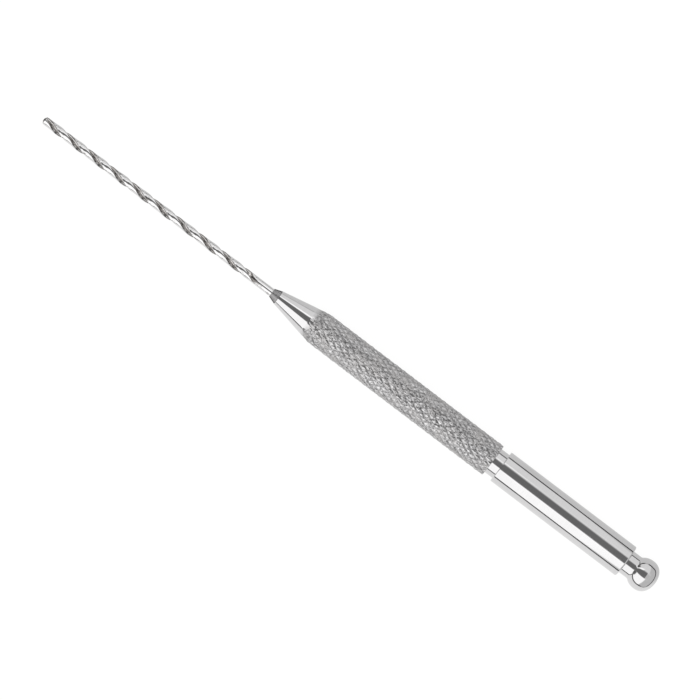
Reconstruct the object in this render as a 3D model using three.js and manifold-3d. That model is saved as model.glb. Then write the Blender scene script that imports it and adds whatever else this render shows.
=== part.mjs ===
// Hand-held endodontic file in a collet-type holder.
//
// Frame: millimetres, +Z up. The tool lies on its knurled grip on the plane z = 0,
// with its long axis along X: file tip at -X, palm ball at +X. The origin is the
// middle of the footprint, so the tool spans X = -63.5 ... +63.5.
//
// All turned pieces are described by (radius, station) profiles, where a station is
// the distance from the file's tip along the tool's axis.

import * as THREE from 'three';
import * as BufferGeometryUtils from 'three/addons/utils/BufferGeometryUtils.js';
import Module from 'manifold-3d';

const wasm = await Module();
wasm.setup();

// ---------------------------------------------------------------- dimensions (mm)
const TOTAL_LENGTH = 127.0;       // tip to ball
const SIDES = 24;                 // facets of every turned piece
const GRIP_FLAT_R = 3.0;          // grip axis to the flat of a facet (knurl OD 6.0)
const AXIS_Z = GRIP_FLAT_R;       // the axis height above the resting plane
const CLEAR = 0.03;               // running clearance on a radius

// file
const FILE_LENGTH = 66.0;         // whole file, fluted part and straight shank
const FLUTE_END = 44.5;           // where the flutes have run out
const FLUTE_FADE = 41.8;          // where they start to run out
const FILE_SHANK_R = 0.71;        // straight shank, diameter 1.42
const HALF_LEAD_0 = 4.384;        // axial distance for half a turn, at the tip
const HALF_LEAD_SLOPE = 0.01045;  // and its growth per mm along the blade
const FLUTE_PHASE = 0.035;        // half turns
const TIP_BEVEL = 0.5;            // length of the blunt tip's bevel
const TIP_R = 0.45;               // flat of the blunt tip
// half of the two-flute section: [angle in degrees, radius]; flute middle at 0.
// The flute is a narrow notch: a gentle face from the heel down to the deepest point,
// a steep face up to the cutting edge, then a wide land relieved behind the edge.
const FLUTE_SECTION = [
  [-36, 0.715], [-27.4, 0.584], [-14.2, 0.473], [5.1, 0.40], [27, 0.385],
  [37, 0.57], [41, 0.765], [50, 0.775], [57, 0.76], [68, 0.735], [80, 0.718],
  [92, 0.71], [108, 0.71], [126, 0.71],
];

// collet
const NOSE_START = 47.4;
const NOSE_TIP_R = 0.79;
const NOSE_R = 1.262;             // root of the visible nose cone
const SLEEVE_START = 48.8;        // mouth of the grip sleeve
const COLLET_BORE_R = 0.735;
const COLLET_NECK_R = 1.09;       // snap neck that the sleeve's lip sits in
const COLLET_TAIL_R = 1.32;
const COLLET_TAIL_END = 69.0;
const SLIT_W = 0.24;
const SLIT_END = 61.0;

// grip sleeve
const MOUTH_R = 1.283;            // outside, at the mouth
const LIP_BORE_R = 1.125;
const LIP_END = 49.4;
const TAPER_START_R = 1.20;       // closing taper inside the nose
const TAPER_END = 55.0;
const THREAD_BORE_R = 1.98;
const CONE_END = 57.28;
const REGISTER_STEP = 88.2;
const REGISTER_BORE_R = 2.42;
const SLEEVE_END = 93.34;
const SLEEVE_CHAMFER = 0.09;

// handle core
const SPIGOT_START = 62.0;
const SPIGOT_R = THREAD_BORE_R - 0.05;
const REGISTER_R = 2.375;         // the recessed neck, diameter 4.75
const REGISTER_START = 88.6;
const SHANK_START = 95.0;
const SHANK_R = 2.925;
const SHANK_END = 121.0;
const SHANK_EDGE = 0.24;
const SEAT_R = COLLET_TAIL_R + CLEAR;
const SEAT_END = 70.0;
const TAIL_BORE_R = 0.80;
const TAIL_BORE_END = 84.0;
const STUD_HOLE_R = 1.25;
const STUD_HOLE_START = 114.2;

// ball finial
const BALL_R = 2.82;              // the palm ball is a slightly flattened egg, widest here
const BALL_WIDEST = 124.64;
const BALL_REAR = 2.65;           // half length toward the neck, if it were whole
const BALL_N = 2.2;               // exponent of its superellipse
const BALL_NECK_R = 2.12;
const BALL_NECK_START = 121.03;
const STUD_R = 1.20;
const STUD_START = 114.8;

const x0 = -TOTAL_LENGTH / 2;     // X of station 0

// ---------------------------------------------------------------- materials
const steel = (name, color, roughness) => new THREE.MeshStandardMaterial({ name, color, roughness, metalness: 1.0 });
const polished = steel('polished_steel', 0xc9c9c8, 0.12);
const knurled = steel('knurled_steel', 0xa3a1a0, 0.38);
const ground = steel('ground_steel', 0xb0b0ae, 0.3);
const dull = steel('dull_steel', 0x8b8a88, 0.5);

// ---------------------------------------------------------------- turned pieces
// points: [radius, station] pairs round the half section, either way; a profile starts
// and ends on the axis or closes on itself.
function turned(points, sides = SIDES) {
  let area = 0;
  points.forEach(([r, s], i) => {
    const [r2, s2] = points[(i + 1) % points.length];
    area += r * s2 - r2 * s;
  });
  const ordered = area > 0 ? points : [...points].reverse();
  const profile = ordered.map(([r, s]) => new THREE.Vector2(r, s));
  const geometry = new THREE.LatheGeometry(profile, sides, Math.PI / sides, 2 * Math.PI);
  geometry.rotateZ(-Math.PI / 2);            // Y of the lathe becomes X
  geometry.translate(x0, 0, AXIS_Z);
  return clean(geometry);
}

function clean(geometry) {
  const g = geometry.clone();
  g.deleteAttribute('normal');
  g.deleteAttribute('uv');
  return BufferGeometryUtils.mergeVertices(g, 1e-5);
}

function toManifold(geometry) {
  const g = clean(geometry.index ? geometry : BufferGeometryUtils.mergeVertices(geometry));
  return new wasm.Manifold(new wasm.Mesh({
    numProp: 3,
    vertProperties: new Float32Array(g.attributes.position.array),
    triVerts: new Uint32Array(g.index.array),
  }));
}

function fromManifold(solid) {
  const m = solid.getMesh();
  const g = new THREE.BufferGeometry();
  const n = m.vertProperties.length / m.numProp;
  const pos = new Float32Array(n * 3);
  for (let i = 0; i < n; i++) {
    for (let k = 0; k < 3; k++) pos[3 * i + k] = m.vertProperties[m.numProp * i + k];
  }
  g.setAttribute('position', new THREE.BufferAttribute(pos, 3));
  g.setIndex(new THREE.BufferAttribute(new Uint32Array(m.triVerts), 1));
  return g;
}

const group = new THREE.Group();
function add(name, geometry, material) {
  geometry.computeVertexNormals();
  const mesh = new THREE.Mesh(geometry, material);
  mesh.name = name;
  group.add(mesh);
  return mesh;
}

// ---------------------------------------------------------------- file
// A two-flute, right-hand twisted blade on a straight shank: one section, extruded
// in steps, then twisted and faded to a round rod.
function fileBlade() {
  const shape = new THREE.Shape();
  const section = [];
  for (const half of [0, 180]) {
    for (const [deg, r] of FLUTE_SECTION) section.push([THREE.MathUtils.degToRad(deg + half), r]);
  }
  section.forEach(([a, r], i) => {
    const x = r * Math.cos(a), y = r * Math.sin(a);
    if (i === 0) shape.moveTo(x, y); else shape.lineTo(x, y);
  });
  shape.closePath();
  const fluteSteps = 98, fadeSteps = 8, plainSteps = 2;
  const steps = fluteSteps + fadeSteps + plainSteps;
  const g = new THREE.ExtrudeGeometry(shape, { depth: steps, steps, bevelEnabled: false, curveSegments: 1 });
  const p = g.attributes.position;
  const halfTurns = (s) => Math.log(1 + HALF_LEAD_SLOPE * s / HALF_LEAD_0) / HALF_LEAD_SLOPE;
  for (let i = 0; i < p.count; i++) {
    const k = p.getZ(i);
    let s;
    if (k <= 3) s = TIP_BEVEL * k / 3;
    else if (k <= fluteSteps) s = TIP_BEVEL + (FLUTE_FADE - TIP_BEVEL) * (k - 3) / (fluteSteps - 3);
    else if (k <= fluteSteps + fadeSteps) s = FLUTE_FADE + (FLUTE_END - FLUTE_FADE) * (k - fluteSteps) / fadeSteps;
    else s = FLUTE_END + (FILE_LENGTH - FLUTE_END) * (k - fluteSteps - fadeSteps) / plainSteps;
    const x = p.getX(i), y = p.getY(i);
    let r = Math.hypot(x, y);
    const a = Math.atan2(y, x) + Math.PI * (halfTurns(Math.min(s, FLUTE_END)) + FLUTE_PHASE);
    const fade = THREE.MathUtils.smoothstep(s, FLUTE_FADE, FLUTE_END);
    r += (FILE_SHANK_R - r) * fade;
    if (s < TIP_BEVEL) r = Math.min(r, TIP_R + (0.775 - TIP_R) * Math.sqrt(s / TIP_BEVEL));
    p.setXYZ(i, r * Math.cos(a), r * Math.sin(a), s);
  }
  // section plane (x, y) -> (Y, Z), extrusion -> X
  g.applyMatrix4(new THREE.Matrix4().set(0, 0, 1, 0, 1, 0, 0, 0, 0, 1, 0, 0, 0, 0, 0, 1));
  g.translate(x0, 0, AXIS_Z);
  return clean(g);
}
add('file_blade', fileBlade(), ground);

// ---------------------------------------------------------------- collet
// Three sprung jaws. The nose stands out of the sleeve's mouth, the snap neck sits in
// the sleeve's lip, and the long taper is squeezed by the sleeve's inner taper.
const taperR = (s) => TAPER_START_R + (THREAD_BORE_R - TAPER_START_R) * (s - LIP_END) / (TAPER_END - LIP_END);
const colletBody = turned([
  [COLLET_BORE_R, NOSE_START],
  [COLLET_BORE_R, COLLET_TAIL_END],
  [COLLET_TAIL_R - 0.12, COLLET_TAIL_END],
  [COLLET_TAIL_R, COLLET_TAIL_END - 0.12],
  [COLLET_TAIL_R, 55.4],
  [taperR(54.6) - CLEAR, 54.6],
  [taperR(LIP_END + 0.1) - CLEAR, LIP_END + 0.1],
  [COLLET_NECK_R, LIP_END + 0.04],
  [COLLET_NECK_R, SLEEVE_START - CLEAR],
  [NOSE_R, SLEEVE_START - CLEAR],
  [NOSE_TIP_R, NOSE_START],
  [COLLET_BORE_R, NOSE_START],
]);
let collet = toManifold(colletBody);
for (const deg of [-90, 30, 150]) {
  // a thin blade from the axis outwards, open at the nose
  const slit = new THREE.BoxGeometry(SLIT_END - NOSE_START + 1, 3, SLIT_W);
  slit.translate((SLIT_END - NOSE_START + 1) / 2 + NOSE_START - 1, 1.5, 0);
  slit.rotateX(THREE.MathUtils.degToRad(deg));
  slit.translate(x0, 0, AXIS_Z);
  collet = collet.subtract(toManifold(slit));
}
add('collet', fromManifold(collet), dull);

// ---------------------------------------------------------------- grip sleeve
const gripCornerR = GRIP_FLAT_R / Math.cos(Math.PI / SIDES);
add('grip_sleeve', turned([
  [LIP_BORE_R, SLEEVE_START],
  [LIP_BORE_R, LIP_END],
  [TAPER_START_R, LIP_END],
  [THREAD_BORE_R, TAPER_END],
  [THREAD_BORE_R, REGISTER_STEP],
  [REGISTER_BORE_R, REGISTER_STEP],
  [REGISTER_BORE_R, SLEEVE_END],
  [gripCornerR - SLEEVE_CHAMFER, SLEEVE_END],
  [gripCornerR, SLEEVE_END - SLEEVE_CHAMFER],
  [gripCornerR, CONE_END],
  [MOUTH_R, SLEEVE_START],
  [LIP_BORE_R, SLEEVE_START],
]), knurled);

// ---------------------------------------------------------------- handle core
// Threaded spigot, recessed register neck and smooth shank in one bar, bored from the
// front for the collet and the file's tail, and from the back for the finial's stud.
add('handle_core', turned([
  [0, TAIL_BORE_END],
  [TAIL_BORE_R, TAIL_BORE_END],
  [TAIL_BORE_R, SEAT_END],
  [SEAT_R, SEAT_END],
  [SEAT_R, SPIGOT_START],
  [SPIGOT_R - 0.25, SPIGOT_START],
  [SPIGOT_R, SPIGOT_START + 0.25],
  [SPIGOT_R, REGISTER_START],
  [REGISTER_R - 0.1, REGISTER_START],
  [REGISTER_R, REGISTER_START + 0.1],
  [REGISTER_R, SHANK_START],
  [SHANK_R - 0.08, SHANK_START],
  [SHANK_R, SHANK_START + 0.08],
  [SHANK_R, SHANK_END - SHANK_EDGE],
  [SHANK_R - 0.07, SHANK_END - 0.07],
  [SHANK_R - SHANK_EDGE, SHANK_END],
  [STUD_HOLE_R, SHANK_END],
  [STUD_HOLE_R, STUD_HOLE_START],
  [0, STUD_HOLE_START],
]), polished);

// ---------------------------------------------------------------- ball finial
const ballProfile = [[0, STUD_START], [STUD_R - 0.2, STUD_START], [STUD_R, STUD_START + 0.2],
  [STUD_R, BALL_NECK_START], [BALL_NECK_R, BALL_NECK_START]];
const ballR = (x) => BALL_R * Math.max(0, 1 - x ** BALL_N) ** (1 / BALL_N);
const rearX = (1 - (BALL_NECK_R / BALL_R) ** BALL_N) ** (1 / BALL_N);   // where it meets the neck
const rearSteps = 6, domeSteps = 12;
for (let i = rearSteps; i >= 0; i--) {
  const x = rearX * i / rearSteps;
  ballProfile.push([ballR(x), BALL_WIDEST - BALL_REAR * x]);
}
for (let i = 1; i <= domeSteps; i++) {
  const x = Math.sin(Math.PI / 2 * i / domeSteps) ** (2 / BALL_N);
  ballProfile.push([i === domeSteps ? 0 : ballR(x), BALL_WIDEST + (TOTAL_LENGTH - BALL_WIDEST) * x]);
}
add('ball_finial', turned(ballProfile), polished);

export default group;
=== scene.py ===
import math

import bpy
import numpy as np
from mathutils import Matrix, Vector


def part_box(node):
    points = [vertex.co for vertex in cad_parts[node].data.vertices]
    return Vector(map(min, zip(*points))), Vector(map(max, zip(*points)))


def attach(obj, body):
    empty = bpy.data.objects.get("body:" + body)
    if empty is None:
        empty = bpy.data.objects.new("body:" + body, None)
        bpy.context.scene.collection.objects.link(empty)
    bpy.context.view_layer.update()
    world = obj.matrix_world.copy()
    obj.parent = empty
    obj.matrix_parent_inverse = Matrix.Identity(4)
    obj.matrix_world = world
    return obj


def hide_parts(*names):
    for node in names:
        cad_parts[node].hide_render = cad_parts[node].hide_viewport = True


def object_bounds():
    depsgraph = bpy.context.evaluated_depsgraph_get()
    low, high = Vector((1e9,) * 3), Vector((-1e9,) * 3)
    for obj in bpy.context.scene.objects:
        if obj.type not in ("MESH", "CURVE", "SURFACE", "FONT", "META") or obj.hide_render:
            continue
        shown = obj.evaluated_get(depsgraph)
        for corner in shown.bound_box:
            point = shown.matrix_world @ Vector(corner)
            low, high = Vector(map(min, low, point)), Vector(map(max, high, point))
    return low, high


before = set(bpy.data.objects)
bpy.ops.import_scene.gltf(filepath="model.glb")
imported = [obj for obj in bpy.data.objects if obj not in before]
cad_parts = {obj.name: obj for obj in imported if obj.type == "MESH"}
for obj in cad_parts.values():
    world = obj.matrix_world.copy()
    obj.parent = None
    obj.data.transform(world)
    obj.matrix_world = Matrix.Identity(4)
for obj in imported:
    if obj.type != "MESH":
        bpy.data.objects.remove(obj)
CAD_BOX = [list(map(float, v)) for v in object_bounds()]

scene = bpy.context.scene
MM = 0.001

# ------------------------------------------------------------------ where things are
# Stations are millimetres from the file's tip along the tool's axis, which is
# parallel to X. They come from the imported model's boxes.
LO, HI = (Vector(v) for v in CAD_BOX)
X0 = LO.x / MM
LENGTH = (HI.x - LO.x) / MM
AXIS_Z = (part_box("grip_sleeve")[0].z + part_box("grip_sleeve")[1].z) / 2 / MM


def station(node, end):
    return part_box(node)[end].x / MM - X0


SLEEVE_START = station("grip_sleeve", 0)
SLEEVE_END = station("grip_sleeve", 1)
NOSE_START = station("collet", 0)
COLLET_END = station("collet", 1)
FILE_LENGTH = station("file_blade", 1)
SPIGOT_START = station("handle_core", 0)
SHANK_END = station("handle_core", 1)
STUD_START = station("ball_finial", 0)
GRIP_R = (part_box("grip_sleeve")[1].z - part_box("grip_sleeve")[0].z) / 2 / MM
SHANK_R = 2.925
BALL_R, BALL_WIDEST, BALL_REAR, BALL_NECK_R = 2.82, 124.64, 2.65, 2.12


# ------------------------------------------------------------------ mesh helpers
def make_mesh(name, verts, faces, smooth_deg=None):
    """verts in mm as (station, y, z about the axis)."""
    v = np.array(verts, float)
    v = np.column_stack([v[:, 0] + X0, v[:, 1], v[:, 2] + AXIS_Z]) * MM
    me = bpy.data.meshes.new(name)
    me.from_pydata(v.tolist(), [], [tuple(int(i) for i in f) for f in faces])
    me.validate()
    me.update()
    ob = bpy.data.objects.new(name, me)
    scene.collection.objects.link(ob)
    if smooth_deg is not None:
        me.shade_smooth()
        me.set_sharp_from_angle(angle=math.radians(smooth_deg))
    return ob


def rounded(points):
    """A (radius, station[, fillet]) polyline with each marked corner turned into an arc."""
    out = []
    n = len(points)
    for i, p in enumerate(points):
        f = p[2] if len(p) > 2 else 0
        if not f or i in (0, n - 1):
            out.append((p[0], p[1]))
            continue
        c = np.array(p[:2], float)
        a = np.array(points[i - 1][:2], float) - c
        b = np.array(points[i + 1][:2], float) - c
        a /= np.linalg.norm(a)
        b /= np.linalg.norm(b)
        ang = math.acos(max(-1, min(1, float(a @ b))))
        t = f / math.tan(ang / 2)
        mid = (a + b) / np.linalg.norm(a + b)
        centre = c + mid * (f / math.sin(ang / 2))
        s, e = c + a * t - centre, c + b * t - centre
        steps = 6 if f < 0.5 else 10
        sweep = math.pi - ang
        for k in range(steps + 1):
            w = k / steps
            q = (math.sin((1 - w) * sweep) * s + math.sin(w * sweep) * e) / math.sin(sweep)
            out.append(tuple(centre + q))
    return out


def lathe(name, profile, seg=160, closed=True, smooth_deg=28):
    """Revolves (radius, station) points round the axis. A point at radius 0 is a pole."""
    pts = list(profile)
    verts, rings = [], []
    ang = 2 * np.pi * (np.arange(seg) + 0.5) / seg
    for r, s in pts:
        if r < 1e-9:
            rings.append([len(verts)])
            verts.append((s, 0, 0))
        else:
            start = len(verts)
            rings.append(list(range(start, start + seg)))
            verts += [(s, r * math.sin(t), -r * math.cos(t)) for t in ang]
    faces = []
    n = len(pts)
    pairs = [(i, i + 1) for i in range(n - 1)]
    if closed and len(rings[0]) > 1 and len(rings[-1]) > 1:
        pairs.append((n - 1, 0))
    area = sum(pts[i][0] * pts[(i + 1) % n][1] - pts[(i + 1) % n][0] * pts[i][1] for i in range(n))
    for i, j in pairs:
        a, b = rings[i], rings[j]
        for k in range(seg):
            k2 = (k + 1) % seg
            if len(a) == 1 and len(b) == 1:
                continue
            if len(a) == 1:
                f = (a[0], b[k2], b[k])
            elif len(b) == 1:
                f = (a[k], a[k2], b[0])
            else:
                f = (a[k], a[k2], b[k2], b[k])
            faces.append(f if area < 0 else f[::-1])
    return make_mesh(name, verts, faces, smooth_deg)


def signed_volume(ob):
    me = ob.data
    me.calc_loop_triangles()
    co = np.zeros(len(me.vertices) * 3)
    me.vertices.foreach_get("co", co)
    co = co.reshape(-1, 3)
    tri = np.zeros(len(me.loop_triangles) * 3, int)
    me.loop_triangles.foreach_get("vertices", tri)
    t = co[tri.reshape(-1, 3)]
    return float(np.einsum("ij,ij->i", t[:, 0], np.cross(t[:, 1], t[:, 2])).sum() / 6)


def outward(ob):
    if signed_volume(ob) < 0:
        ob.data.flip_normals()
        ob.data.update()
    return ob


# ------------------------------------------------------------------ node helpers
class Tree:
    def __init__(self, nt):
        self.nt = nt
        nt.nodes.clear()

    def node(self, kind, **props):
        n = self.nt.nodes.new(kind)
        for k, v in props.items():
            setattr(n, k, v)
        return n

    def link(self, a, b):
        self.nt.links.new(a, b)

    def feed(self, socket, value):
        if hasattr(value, "is_linked"):
            self.link(value, socket)
        else:
            socket.default_value = value

    def math(self, op, a, b=None, c=None, clamp=False):
        n = self.node("ShaderNodeMath", operation=op, use_clamp=clamp)
        for i, v in enumerate((a, b, c)):
            if v is not None:
                self.feed(n.inputs[i], v)
        return n.outputs[0]

    def ramp(self, value, a, b, lo=0.0, hi=1.0, smooth=True):
        n = self.node("ShaderNodeMapRange", interpolation_type="SMOOTHSTEP" if smooth else "LINEAR")
        n.clamp = True
        self.feed(n.inputs["Value"], value)
        self.feed(n.inputs["From Min"], a)
        self.feed(n.inputs["From Max"], b)
        self.feed(n.inputs["To Min"], lo)
        self.feed(n.inputs["To Max"], hi)
        return n.outputs["Result"]

    def mix(self, f, a, b):
        """a + (b - a) * f on plain numbers."""
        n = self.node("ShaderNodeMix", data_type="FLOAT")
        self.feed(n.inputs[0], f)
        self.feed(n.inputs[2], a)
        self.feed(n.inputs[3], b)
        return n.outputs[0]

    def mix_color(self, f, a, b):
        n = self.node("ShaderNodeMix", data_type="RGBA")
        self.feed(n.inputs[0], f)
        self.feed(n.inputs[6], a)
        self.feed(n.inputs[7], b)
        return n.outputs[2]

    def coords(self, scale):
        """Object coordinates, scaled per axis."""
        t = self.node("ShaderNodeTexCoord")
        m = self.node("ShaderNodeMapping")
        m.inputs["Scale"].default_value = scale
        self.link(t.outputs["Object"], m.inputs["Vector"])
        return m.outputs["Vector"]

    def noise(self, vec, scale=1.0, detail=3.0, rough=0.55):
        n = self.node("ShaderNodeTexNoise")
        n.inputs["Scale"].default_value = scale
        n.inputs["Detail"].default_value = detail
        n.inputs["Roughness"].default_value = rough
        self.link(vec, n.inputs["Vector"])
        return n.outputs["Fac"]

    def bump(self, height, strength, distance, after=None):
        n = self.node("ShaderNodeBump")
        n.inputs["Strength"].default_value = strength
        n.inputs["Distance"].default_value = distance
        self.link(height, n.inputs["Height"])
        if after is not None:
            self.link(after, n.inputs["Normal"])
        return n.outputs["Normal"]


def principled(name):
    m = bpy.data.materials.new(name)
    m.use_nodes = True
    t = Tree(m.node_tree)
    out = t.node("ShaderNodeOutputMaterial")
    bsdf = t.node("ShaderNodeBsdfPrincipled")
    bsdf.inputs["Metallic"].default_value = 1.0
    t.link(bsdf.outputs[0], out.inputs["Surface"])
    return m, t, bsdf


def radius_mm(t):
    """Distance from the tool's axis, in mm, from object coordinates."""
    c = t.node("ShaderNodeTexCoord")
    s = t.node("ShaderNodeSeparateXYZ")
    t.link(c.outputs["Object"], s.inputs[0])
    y = t.math("MULTIPLY", s.outputs[1], 1 / MM)
    z = t.math("MULTIPLY_ADD", s.outputs[2], 1 / MM, -AXIS_Z)
    r = t.math("SQRT", t.math("ADD", t.math("MULTIPLY", y, y), t.math("MULTIPLY", z, z)))
    return r, t.math("MULTIPLY_ADD", s.outputs[0], 1 / MM, -X0)


# ------------------------------------------------------------------ materials
def polished_steel():
    """Mirror-polished stainless steel: faint lathe lines round the bar, soft smudges."""
    m, t, b = principled("polished_stainless")
    lines = t.noise(t.coords((9000, 120, 120)), detail=2)
    smudge = t.noise(t.coords((160, 260, 260)), detail=4)
    fine = t.noise(t.coords((1500, 1500, 1500)), detail=2)
    tone = t.math("MULTIPLY_ADD", lines, 0.35, t.math("MULTIPLY", smudge, 0.65))
    t.link(t.mix_color(t.ramp(tone, 0.35, 0.65), (0.735, 0.729, 0.734, 1), (0.775, 0.769, 0.774, 1)), b.inputs["Base Color"])
    t.link(t.ramp(t.math("ADD", smudge, t.math("MULTIPLY", fine, 0.25)), 0.4, 0.85, 0.045, 0.105), b.inputs["Roughness"])
    n1 = t.bump(lines, 0.10, 0.000004)
    t.link(t.bump(smudge, 0.05, 0.00002, n1), b.inputs["Normal"])
    return m


def knurled_steel():
    """The grip sleeve: polished on the cone, coarser and slightly duller in the knurl's cuts, which are also darkened
    with painted shade.
    """
    m, t, b = principled("knurled_stainless")
    r, s = radius_mm(t)
    grain = t.noise(t.coords((14000, 14000, 14000)), detail=3)
    coarse = t.noise(t.coords((3400, 3400, 3400)), detail=1, rough=0.35)
    patch = t.noise(t.coords((420, 420, 420)), detail=3)
    lines = t.noise(t.coords((9000, 120, 120)), detail=2)
    # 1 in the knurled length, 0 on the cone
    knurl = t.ramp(s, 54.9, 56.2)
    # painted shade mask: 1 on the crests, 0 down in the knurl's cuts, which get the darker colour
    crest = t.ramp(r, 2.88, 2.97)
    cell = t.ramp(t.noise(t.coords((2300, 2900, 2900)), detail=2), 0.38, 0.62)
    # painted shade: a dark colour in the cuts and a light one on the crests, half by depth and half by a random noise
    # tone
    cut = t.mix_color(t.math("MULTIPLY_ADD", crest, 0.5, t.math("MULTIPLY", cell, 0.5)), (0.28, 0.275, 0.278, 1), (0.84, 0.832, 0.837, 1))
    # random patches lay one mid grey over both the painted shade and the crest tone
    knurl_shade_and_patch = t.mix_color(t.ramp(patch, 0.42, 0.70), cut, (0.56, 0.548, 0.546, 1))
    tone = t.mix_color(t.ramp(lines, 0.3, 0.7), (0.735, 0.729, 0.734, 1), (0.775, 0.769, 0.774, 1))
    t.link(t.mix_color(knurl, tone, knurl_shade_and_patch), b.inputs["Base Color"])
    rough = t.mix(knurl, t.ramp(lines, 0.3, 0.8, 0.05, 0.10), t.ramp(grain, 0.3, 0.7, 0.24, 0.32))
    t.link(rough, b.inputs["Roughness"])
    n0 = t.bump(t.math("MULTIPLY", coarse, knurl), 1.0, 0.00010)
    n1 = t.bump(t.math("MULTIPLY", grain, knurl), 0.3, 0.000005, n0)
    t.link(t.bump(lines, 0.08, 0.000004, n1), b.inputs["Normal"])
    return m


def collet_steel():
    """Dull turned steel with visible tool lines round the nose."""
    m, t, b = principled("dull_collet_steel")
    lines = t.noise(t.coords((16000, 300, 300)), detail=2)
    grain = t.noise(t.coords((9000, 9000, 9000)), detail=3)
    t.link(t.mix_color(t.ramp(grain, 0.3, 0.7), (0.36, 0.355, 0.357, 1), (0.44, 0.435, 0.437, 1)), b.inputs["Base Color"])
    t.link(t.ramp(t.math("ADD", t.math("MULTIPLY", lines, 0.5), t.math("MULTIPLY", grain, 0.5)), 0.35, 0.65, 0.34, 0.44), b.inputs["Roughness"])
    n1 = t.bump(lines, 0.25, 0.000005)
    t.link(t.bump(grain, 0.15, 0.000005, n1), b.inputs["Normal"])
    return m


def file_steel():
    """The file: bright lands and shank, finely ground flutes with painted shade at the root and under the heel and a
    painted highlight stripe between.
    """
    m, t, b = principled("ground_file_steel")
    r, s = radius_mm(t)
    grain = t.noise(t.coords((5000, 30000, 30000)), detail=2)
    patch = t.noise(t.coords((900, 2500, 2500)), detail=3)
    # the flutes: painted shade at the root and under the heel, and a painted highlight stripe between, brownish in
    # random patches
    rr = t.math("ADD", r, t.ramp(t.noise(t.coords((700, 1500, 1500)), detail=2), 0.3, 0.7, -0.035, 0.035, smooth=False))
    flute = t.ramp(rr, 0.665, 0.70, 1.0, 0.0)
    # mask of the painted highlight stripe across the flute's faces
    highlight_band = t.math("MULTIPLY", t.ramp(rr, 0.43, 0.48), t.ramp(rr, 0.53, 0.58, 1.0, 0.0))
    lands = t.mix_color(t.ramp(patch, 0.35, 0.65), (0.80, 0.794, 0.796, 1), (0.86, 0.854, 0.856, 1))
    # painted shade: the dark colour at the flute's root and under the heel
    cut = t.mix_color(t.ramp(grain, 0.3, 0.7), (0.17, 0.158, 0.152, 1), (0.30, 0.285, 0.275, 1))
    # painted highlight: the light colour of the stripe between, brownish in random patches
    bright = t.mix_color(t.ramp(patch, 0.4, 0.7), (0.84, 0.83, 0.822, 1), (0.66, 0.62, 0.595, 1))
    t.link(t.mix_color(flute, lands, t.mix_color(highlight_band, cut, bright)), b.inputs["Base Color"])
    t.link(t.mix(flute, t.ramp(patch, 0.3, 0.7, 0.03, 0.08), t.ramp(grain, 0.3, 0.7, 0.06, 0.14)), b.inputs["Roughness"])
    t.link(t.bump(t.math("MULTIPLY", grain, flute), 0.12, 0.000004), b.inputs["Normal"])
    return m


POLISHED = polished_steel()
KNURLED = knurled_steel()
COLLET = collet_steel()
FILE = file_steel()


def dress(ob, mat, body, node):
    ob.data.materials.clear()
    ob.data.materials.append(mat)
    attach(ob, body)
    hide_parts(node)
    return ob


# ------------------------------------------------------------------ the file
HALF_LEAD_0, HALF_LEAD_SLOPE, FLUTE_PHASE = 4.384, 0.01045, 0.035
FLUTE_FADE, FLUTE_END = 41.8, 44.5
ROD_R = 0.71


def half_turns(s):
    return np.log(1 + HALF_LEAD_SLOPE * s / HALF_LEAD_0) / HALF_LEAD_SLOPE


def smoothstep(x, a, b):
    t = np.clip((x - a) / (b - a), 0, 1)
    return t * t * (3 - 2 * t)


def polar(deg, r):
    return np.array([r * math.cos(math.radians(deg)), r * math.sin(math.radians(deg))])


def arc_corner(a, c, b, f, steps):
    """The corner c of the path a-c-b, rounded with radius f."""
    u, v = (a - c) / np.linalg.norm(a - c), (b - c) / np.linalg.norm(b - c)
    ang = math.acos(float(np.clip(u @ v, -1, 1)))
    mid = (u + v) / np.linalg.norm(u + v)
    centre = c + mid * f / math.sin(ang / 2)
    s0, s1 = c + u * f / math.tan(ang / 2) - centre, c + v * f / math.tan(ang / 2) - centre
    sweep = math.pi - ang
    return [centre + (math.sin((1 - w) * sweep) * s0 + math.sin(w * sweep) * s1) / math.sin(sweep)
            for w in np.linspace(0, 1, steps)]


def file_section():
    """Half of the two-flute section as (y, z) points from the heel round to the next heel.
    The flute is a narrow notch with a gentle face, a rounded root and a steep face up to
    the cutting edge; the land behind the edge is relieved down to the rod's radius."""
    heel, root, edge = polar(-36, 0.715), polar(29, 0.387), polar(41, 0.775)
    relief = [polar(a, 0.71 + 0.065 * (1 - smoothstep(a, 46, 100))) for a in np.arange(47, 101, 3.5)]
    before = polar(-54, 0.71)
    pts = arc_corner(before, heel, root, 0.07, 8)
    # the gentle face, with shallow grinding ridges along it
    n = 26
    face = np.array([heel + (root - heel) * w for w in np.linspace(0.16, 0.84, n)])
    normal = np.array([(root - heel)[1], -(root - heel)[0]]) / np.linalg.norm(root - heel)
    w = np.linspace(0, 1, n)
    face = face + normal * (0.012 * np.sin(2 * np.pi * 2.2 * w + 0.6) * np.sin(np.pi * w))[:, None]
    pts += list(face)
    pts += arc_corner(heel, root, edge, 0.075, 9)
    pts += [root + (edge - root) * w for w in (0.45, 0.7)]
    pts += arc_corner(root, edge, relief[0], 0.035, 7)
    pts += relief
    pts += [polar(a, 0.71) for a in np.arange(103, 125, 4.5)]
    return np.array(pts)


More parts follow.
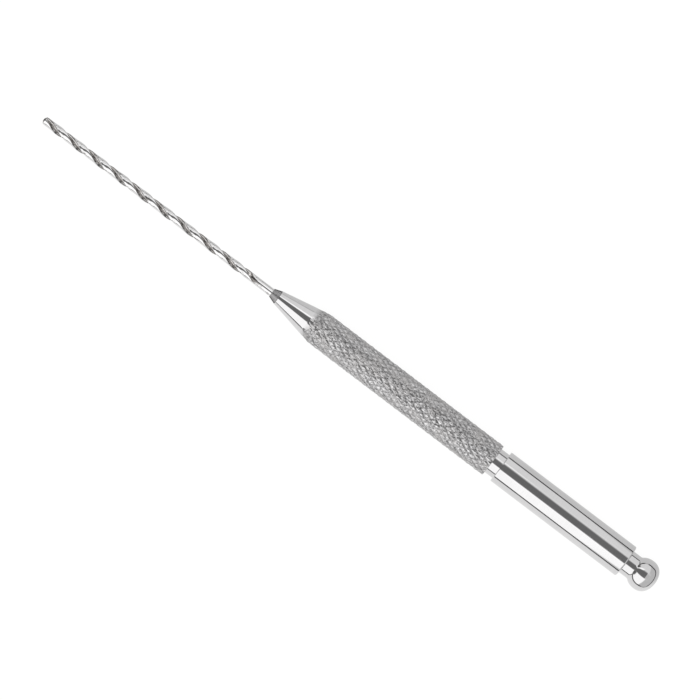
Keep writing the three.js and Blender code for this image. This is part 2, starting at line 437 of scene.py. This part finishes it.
def build_file():
    half = file_section()
    pts = np.vstack([half, -half])
    ang, rad = np.arctan2(pts[:, 1], pts[:, 0]), np.hypot(pts[:, 0], pts[:, 1])
    n = len(ang)
    tip = 0.36
    st = np.concatenate([
        np.linspace(0, tip, 14, endpoint=False),
        np.linspace(tip, FLUTE_END, 470),
        [FLUTE_END + 0.05, NOSE_START + 4, FILE_LENGTH - 0.15, FILE_LENGTH],
    ])
    rng = np.random.RandomState(7)
    wobble = np.interp(np.arange(len(st)), np.arange(0, len(st) + 12, 6), rng.uniform(-1, 1, len(np.arange(0, len(st) + 12, 6))))
    wobble = np.convolve(wobble, np.hanning(17) / np.hanning(17).sum(), mode="same")
    verts = []
    for k, s in enumerate(st):
        rr = rad + (rad - ROD_R) * 0.06 * wobble[k]
        rr = rr + (ROD_R - rr) * float(smoothstep(s, FLUTE_FADE, FLUTE_END))
        if s < tip:
            # blunt bevelled tip
            rr = np.minimum(rr, float(np.interp(s, [0, 0.03, 0.27, 0.31, tip], [0.25, 0.31, 0.71, 0.75, 0.78])))
        if s >= FILE_LENGTH - 0.01:
            rr = rr - 0.15
        th = ang + math.pi * (float(half_turns(min(s, FLUTE_END))) + FLUTE_PHASE)
        verts += list(zip([s] * n, rr * np.cos(th), rr * np.sin(th)))
    faces = []
    rings = len(st)
    for k in range(rings - 1):
        o, p = k * n, (k + 1) * n
        for i in range(n):
            j = (i + 1) % n
            faces.append((o + i, o + j, p + j, p + i))
    c0, c1 = len(verts), len(verts) + 1
    verts += [(-0.0, 0, 0), (FILE_LENGTH, 0, 0)]
    last = (rings - 1) * n
    for i in range(n):
        j = (i + 1) % n
        faces.append((c0, j, i))
        faces.append((c1, last + i, last + j))
    return outward(make_mesh("canal_file", verts, faces, 30))


dress(build_file(), FILE, "file", "file_blade")

# ------------------------------------------------------------------ the collet
TAPER0, TAPER1, LIP_END, TAPER_END, CLEAR = 1.20, 1.98, SLEEVE_START + 0.6, 55.0, 0.03


def taper_r(s):
    return TAPER0 + (TAPER1 - TAPER0) * (s - LIP_END) / (TAPER_END - LIP_END)


def build_collet():
    nose_r = 1.262
    profile = rounded([
        (0.735, NOSE_START + 0.05),
        (0.735, COLLET_END),
        (1.20, COLLET_END),
        (1.32, COLLET_END - 0.12),
        (1.32, 55.4),
        (taper_r(54.6) - CLEAR, 54.6),
        (taper_r(LIP_END + 0.1) - CLEAR, LIP_END + 0.1),
        (1.09, LIP_END + 0.04),
        (1.09, SLEEVE_START - CLEAR),
        (nose_r - 0.015, SLEEVE_START - CLEAR),
        (nose_r, SLEEVE_START - CLEAR - 0.05),
        (0.80, NOSE_START),
        (0.76, NOSE_START),
    ])
    ob = lathe("collet_jaws", profile, seg=144)
    outward(ob)
    cutters = []
    for deg in (-90, 30, 150):
        w, l0, l1 = 0.12, NOSE_START - 1, 61.0
        c, s = math.cos(math.radians(deg)), math.sin(math.radians(deg))
        vs = []
        for x in (l0, l1):
            for d in (0.0, 3.0):
                for e in (-w, w):
                    vs.append((x, d * c - e * s, d * s + e * c))
        fs = [(0, 1, 3, 2), (4, 6, 7, 5), (0, 4, 5, 1), (2, 3, 7, 6), (0, 2, 6, 4), (1, 5, 7, 3)]
        cut = outward(make_mesh("slit_cutter", vs, fs))
        mod = ob.modifiers.new("slit", "BOOLEAN")
        mod.operation = "DIFFERENCE"
        mod.solver = "EXACT"
        mod.object = cut
        cutters.append(cut)
    bpy.context.view_layer.update()
    dg = bpy.context.evaluated_depsgraph_get()
    me = bpy.data.meshes.new_from_object(ob.evaluated_get(dg))
    ob.modifiers.clear()
    old = ob.data
    ob.data = me
    bpy.data.meshes.remove(old)
    for c in cutters:
        bpy.data.objects.remove(c)
    me.shade_smooth()
    me.set_sharp_from_angle(angle=math.radians(28))
    return ob


dress(build_collet(), COLLET, "chuck", "collet")

# ------------------------------------------------------------------ the grip sleeve
STARTS = 19                     # knurl starts each way
DIAMOND_L = 1.65                # length of one diamond along the grip
SUB = 10                        # mesh steps per diamond
DEPTH_A, DEPTH_B = 0.118, 0.130   # the two sets of cuts
MOUTH_R, CONE_END = 1.283, 57.28
END_CHAMFER = 0.10


def cone_r(s):
    return np.minimum(GRIP_R, MOUTH_R + (GRIP_R - MOUTH_R) * (s - SLEEVE_START) / (CONE_END - SLEEVE_START))


_rng = np.random.RandomState(19)
_cell = _rng.uniform(-1, 1, (2 * STARTS, 512))
_lean = _rng.uniform(-1, 1, (2, 2 * STARTS, 512))
_cut_a = _rng.uniform(-1, 1, STARTS)
_cut_b = _rng.uniform(-1, 1, STARTS)


def knurl_depth(th, s):
    """How far the knurl's cuts lie below the turned surface."""
    w = 2 * np.pi / STARTS
    a = th / w + (s - SLEEVE_END) / DIAMOND_L
    b = th / w - (s - SLEEVE_END) / DIAMOND_L
    ta, tb = np.abs(a - np.round(a)), np.abs(b - np.round(b))
    # each groove is a V of its own depth
    da = DEPTH_A * (1 + 0.10 * _cut_a[np.round(a).astype(int) % STARTS])
    db = DEPTH_B * (1 + 0.10 * _cut_b[np.round(b).astype(int) % STARTS])
    ha = da * (1 - np.clip((ta - 0.01) / 0.46, 0, 1))
    hb = db * (1 - np.clip((tb - 0.01) / 0.46, 0, 1))
    # crests: small differences from diamond to diamond
    ia, ib = np.floor(a).astype(int), np.floor(b).astype(int)
    i, j = (ia + ib) % (2 * STARTS), (ia - ib) % 512
    depth = np.maximum(np.maximum(ha, hb), 0.008 + 0.006 * _cell[i, j])
    tilt = (a - ia - 0.5) * _lean[0, i, j] + (b - ib - 0.5) * _lean[1, i, j]
    depth = np.maximum(0, depth + 0.10 * tilt * (1 - 2 * np.abs(a - ia - 0.5)) * (1 - 2 * np.abs(b - ib - 0.5)) * 2)
    # the wheel runs out on the cone
    return depth * smoothstep(s, 54.6, 57.0)


def outer_r(th, s):
    r = cone_r(s) - knurl_depth(th, s)
    end = GRIP_R - END_CHAMFER + (SLEEVE_END - s)
    return np.minimum(r, end)


def build_sleeve():
    n = STARTS * SUB
    th = 2 * np.pi * np.arange(n) / n
    step = DIAMOND_L / SUB
    first = 54.5
    count = int((SLEEVE_END - first) / step)
    # the knurled rows, counted back from the rear end so the lattice lands on them
    rows = [SLEEVE_END - step * k for k in range(count, 0, -1)]
    rows = rows[:-1] + [SLEEVE_END - step, SLEEVE_END - END_CHAMFER, SLEEVE_END]
    verts, rings = [], []

    def ring(rad, s):
        start = len(verts)
        rad = np.broadcast_to(np.asarray(rad, float), (n,))
        verts.extend(zip([s] * n, rad * np.cos(th), rad * np.sin(th)))
        rings.append((start, s))
        return start

    # bore, from the rear to the mouth, then the outside back to the rear
    inner = [(2.40, SLEEVE_END - 0.06), (2.40, SLEEVE_END - 5.14), (TAPER1, SLEEVE_END - 5.14), (TAPER1, TAPER_END),
             (TAPER0, LIP_END), (1.125, LIP_END), (1.125, SLEEVE_START)]
    for r, s in inner:
        ring(r, s)
    for r, s in [(MOUTH_R - 0.02, SLEEVE_START), (MOUTH_R + 0.008, SLEEVE_START + 0.03)]:
        ring(r, s)
    for s in np.linspace(SLEEVE_START + 0.3, rows[0] - 0.3, 12):
        ring(cone_r(s), s)
    k0 = len(rings)
    for s in rows:
        ring(outer_r(th, np.full(n, s)), s)
    k1 = len(rings)
    ring(2.46, SLEEVE_END)
    faces = []
    total = len(rings)
    for k in range(total):
        o, s0 = rings[k]
        p, s1 = rings[(k + 1) % total]
        split = k0 <= k < k1 - 1
        if split:
            tm = th + np.pi / n
            sm = (s0 + s1) / 2
            rm = outer_r(tm, np.full(n, sm))
            c = len(verts)
            verts.extend(zip([sm] * n, rm * np.cos(tm), rm * np.sin(tm)))
        for i in range(n):
            j = (i + 1) % n
            if split:
                m = c + i
                faces += [(o + i, o + j, m), (o + j, p + j, m), (p + j, p + i, m), (p + i, o + i, m)]
            else:
                faces.append((o + i, o + j, p + j, p + i))
    return outward(make_mesh("knurled_sleeve", verts, faces, 24))


dress(build_sleeve(), KNURLED, "sleeve", "grip_sleeve")

# ------------------------------------------------------------------ core and finial
REGISTER_R = 2.375
SHANK_START = 95.0


def build_core():
    profile = rounded([
        (0, 84.3),
        (0.8, 83.8),
        (0.8, 70.0),
        (1.35, 70.0),
        (1.35, SPIGOT_START),
        (1.68, SPIGOT_START),
        (1.93, SPIGOT_START + 0.25),
        (1.93, 88.6),
        (REGISTER_R - 0.1, 88.6),
        (REGISTER_R, 88.7),
        (REGISTER_R, SHANK_START, 0.07),
        (SHANK_R, SHANK_START, 0.09),
        (SHANK_R, SHANK_END, 0.22),
        (1.25, SHANK_END),
        (1.25, 114.2),
        (0, 113.6),
    ])
    return outward(lathe("handle_bar", profile, seg=192))


dress(build_core(), POLISHED, "handle", "handle_core")


def build_ball():
    """A neck and a slightly flattened egg: a superellipse, longer toward the neck."""
    start, neck, n = SHANK_END + 0.03, BALL_NECK_R, 2.2
    pts = [(0, STUD_START), (1.0, STUD_START), (1.2, STUD_START + 0.2), (1.2, start), (neck - 0.04, start), (neck, start + 0.04)]
    radius = lambda x: BALL_R * max(0.0, 1 - x**n) ** (1 / n)
    rear = (1 - (neck / BALL_R) ** n) ** (1 / n)
    # a small fillet where the neck runs into the ball
    e = rear - 0.10
    a, c = (neck, BALL_WIDEST - BALL_REAR * rear - 0.16), (neck + 0.004, BALL_WIDEST - BALL_REAR * rear + 0.01)
    d = (radius(e), BALL_WIDEST - BALL_REAR * e)
    for k in range(8):
        w = k / 7
        pts.append(tuple((1 - w) ** 2 * a[m] + 2 * w * (1 - w) * c[m] + w * w * d[m] for m in (0, 1)))
    for k in range(1, 25):
        x = e * (1 - k / 24)
        pts.append((radius(x), BALL_WIDEST - BALL_REAR * x))
    steps = 44
    for k in range(1, steps + 1):
        x = math.sin(math.pi / 2 * k / steps) ** (2 / n)
        pts.append((0 if k == steps else radius(x), BALL_WIDEST + (LENGTH - BALL_WIDEST) * x))
    return outward(lathe("palm_ball", pts, seg=160, smooth_deg=35))


dress(build_ball(), POLISHED, "handle", "ball_finial")

# ------------------------------------------------------------------ camera
ROLL = math.radians(37.2017)
SCALE = 0.1655                 # mm on the axis plane for one of 700 picture columns
LENS, SENSOR = 300.0, 36.0
cam_data = bpy.data.cameras.new("camera")
cam_data.type = "PERSP"
cam_data.lens = LENS
cam_data.sensor_width = SENSOR
cam_data.clip_start = 0.01
cam_data.clip_end = 50
cam = bpy.data.objects.new("camera", cam_data)
dist = 700 * SCALE * LENS / SENSOR
cam.location = (-0.064 * MM, 0.255 * MM, (AXIS_Z + dist) * MM)
cam.rotation_euler = (0, 0, ROLL)
scene.collection.objects.link(cam)
scene.camera = cam

# ------------------------------------------------------------------ floor and light
floor_me = bpy.data.meshes.new("floor")
F = 6.0
floor_me.from_pydata([(-F, -F, -0.00002), (F, -F, -0.00002), (F, F, -0.00002), (-F, F, -0.00002)], [], [(0, 1, 2, 3)])
floor = bpy.data.objects.new("floor", floor_me)
scene.collection.objects.link(floor)
fm = bpy.data.materials.new("pale_floor")
fm.use_nodes = True
ft = Tree(fm.node_tree)
fo = ft.node("ShaderNodeOutputMaterial")
add = ft.node("ShaderNodeAddShader")
em = ft.node("ShaderNodeEmission")
em.inputs["Color"].default_value = (1, 1, 0.998, 1)
em.inputs["Strength"].default_value = 0.93
df = ft.node("ShaderNodeBsdfDiffuse")
df.inputs["Color"].default_value = (0.12, 0.12, 0.12, 1)
ft.link(em.outputs[0], add.inputs[0])
ft.link(df.outputs[0], add.inputs[1])
ft.link(add.outputs[0], fo.inputs["Surface"])
floor_me.materials.append(fm)
floor.visible_glossy = False

# A soft studio seen by the steel: pale walls, brighter on the -Y side, a thin dark line
# where the table ends, and a pale table.
world = bpy.data.worlds.new("studio")
scene.world = world
world.use_nodes = True
w = Tree(world.node_tree)
tc = w.node("ShaderNodeTexCoord")
sep = w.node("ShaderNodeSeparateXYZ")
w.link(tc.outputs["Generated"], sep.inputs[0])
dx, dy, dz = sep.outputs
DEG = 180 / math.pi
ay = w.math("MULTIPLY", w.math("ARCTAN2", dy, dz), DEG)
ax = w.math("MULTIPLY", w.math("ARCTAN2", dx, dz), DEG)
el = w.math("MULTIPLY", w.math("ARCSINE", dz), DEG)


def both(*vals):
    out = vals[0]
    for v in vals[1:]:
        out = w.math("MULTIPLY", out, v)
    return out


walls = w.mix(w.ramp(ay, -6, 6), 1.25, 0.83)
walls = w.mix(w.ramp(ax, 19, 32), walls, 0.60)
# the dark line is a little lower beyond the ball
low = w.ramp(dx, 0.2, 0.9, 0, 16)
el2 = w.math("ADD", el, low)
ring = both(w.ramp(el2, -1.0, 1.0), w.ramp(el2, 8.3, 10.8, 1, 0))
weak = both(w.ramp(dx, -0.50, -0.42), w.ramp(dx, -0.20, -0.10, 1, 0), w.ramp(dy, 0.2, 0.5))
weak2 = both(w.ramp(dx, 0.34, 0.48), w.ramp(dx, 0.80, 0.90, 1, 0), w.ramp(dy, -0.5, -0.2, 1, 0))
ring = both(ring, w.ramp(w.math("MAXIMUM", weak, weak2), 0, 1, 1.0, 0.35, False))
table = w.mix(w.ramp(dy, -0.25, 0.25), 0.90, 0.68)
sky = w.mix(w.ramp(el2, 0.5, 3.0), table, walls)
sky = w.mix(ring, sky, 0.04)
# it is dark beyond the file's end, low down
sky = w.mix(both(w.ramp(dx, -0.84, -0.70, 1, 0), w.ramp(w.math("ABSOLUTE", dy), 0.46, 0.60, 1, 0)), sky, 0.14)
lp = w.node("ShaderNodeLightPath")
value = w.mix(lp.outputs["Is Camera Ray"], sky, 1.0)
comb = w.node("ShaderNodeCombineColor")
w.link(value, comb.inputs[0])
w.link(value, comb.inputs[1])
w.link(w.math("MULTIPLY", value, 0.998), comb.inputs[2])
bg = w.node("ShaderNodeBackground")
bg.inputs["Strength"].default_value = 1.0
w.link(comb.outputs[0], bg.inputs["Color"])
wo = w.node("ShaderNodeOutputWorld")
w.link(bg.outputs[0], wo.inputs["Surface"])

# A card close overhead, seen only in the steel: a long dark strip with a bright one along
# its +Y side, and clear everywhere else.
CARD_H = 0.130
card_me = bpy.data.meshes.new("overhead_card")
card_me.from_pydata([(-0.7, -0.12, CARD_H), (0.2, -0.12, CARD_H), (0.2, 0.26, CARD_H), (-0.7, 0.26, CARD_H)], [], [(0, 3, 2, 1)])
card = bpy.data.objects.new("overhead_card", card_me)
scene.collection.objects.link(card)
cm = bpy.data.materials.new("overhead_card")
cm.use_nodes = True
ct = Tree(cm.node_tree)
cc = ct.node("ShaderNodeTexCoord")
cs = ct.node("ShaderNodeSeparateXYZ")
ct.link(cc.outputs["Object"], cs.inputs[0])
cx, cy = cs.outputs[0], cs.outputs[1]


def all_of(*vals):
    out = vals[0]
    for v in vals[1:]:
        out = ct.math("MULTIPLY", out, v)
    return out


far_edge = ct.mix(ct.ramp(cx, 0.0, 0.025), ct.ramp(cy, 0.048, 0.068, 1, 0), ct.ramp(cy, 0.046, 0.096, 1, 0))
strip = all_of(ct.ramp(cy, -0.050, -0.034), far_edge, ct.ramp(cx, 0.19, 0.20, 1, 0))
strip_value = ct.mix(ct.ramp(cx, 0.088, 0.098), 0.16, 0.60)
bright = all_of(ct.ramp(cy, 0.056, 0.066), ct.ramp(cy, 0.088, 0.100, 1, 0), ct.ramp(cx, 0.02, 0.045, 1, 0))
card_value = ct.mix(strip, 1.32, strip_value)
glow = ct.node("ShaderNodeEmission")
gc = ct.node("ShaderNodeCombineColor")
for k in range(3):
    ct.link(card_value, gc.inputs[k])
ct.link(gc.outputs[0], glow.inputs["Color"])
clear = ct.node("ShaderNodeBsdfTransparent")
blend = ct.node("ShaderNodeMixShader")
ct.link(ct.math("MAXIMUM", strip, bright), blend.inputs[0])
ct.link(clear.outputs[0], blend.inputs[1])
ct.link(glow.outputs[0], blend.inputs[2])
co = ct.node("ShaderNodeOutputMaterial")
ct.link(blend.outputs[0], co.inputs["Surface"])
card_me.materials.append(cm)
card.visible_camera = False
card.visible_diffuse = False
card.visible_shadow = False

scene.view_settings.view_transform = "Standard"
scene.view_settings.look = "None"
scene.view_settings.exposure = 0
scene.view_settings.gamma = 1
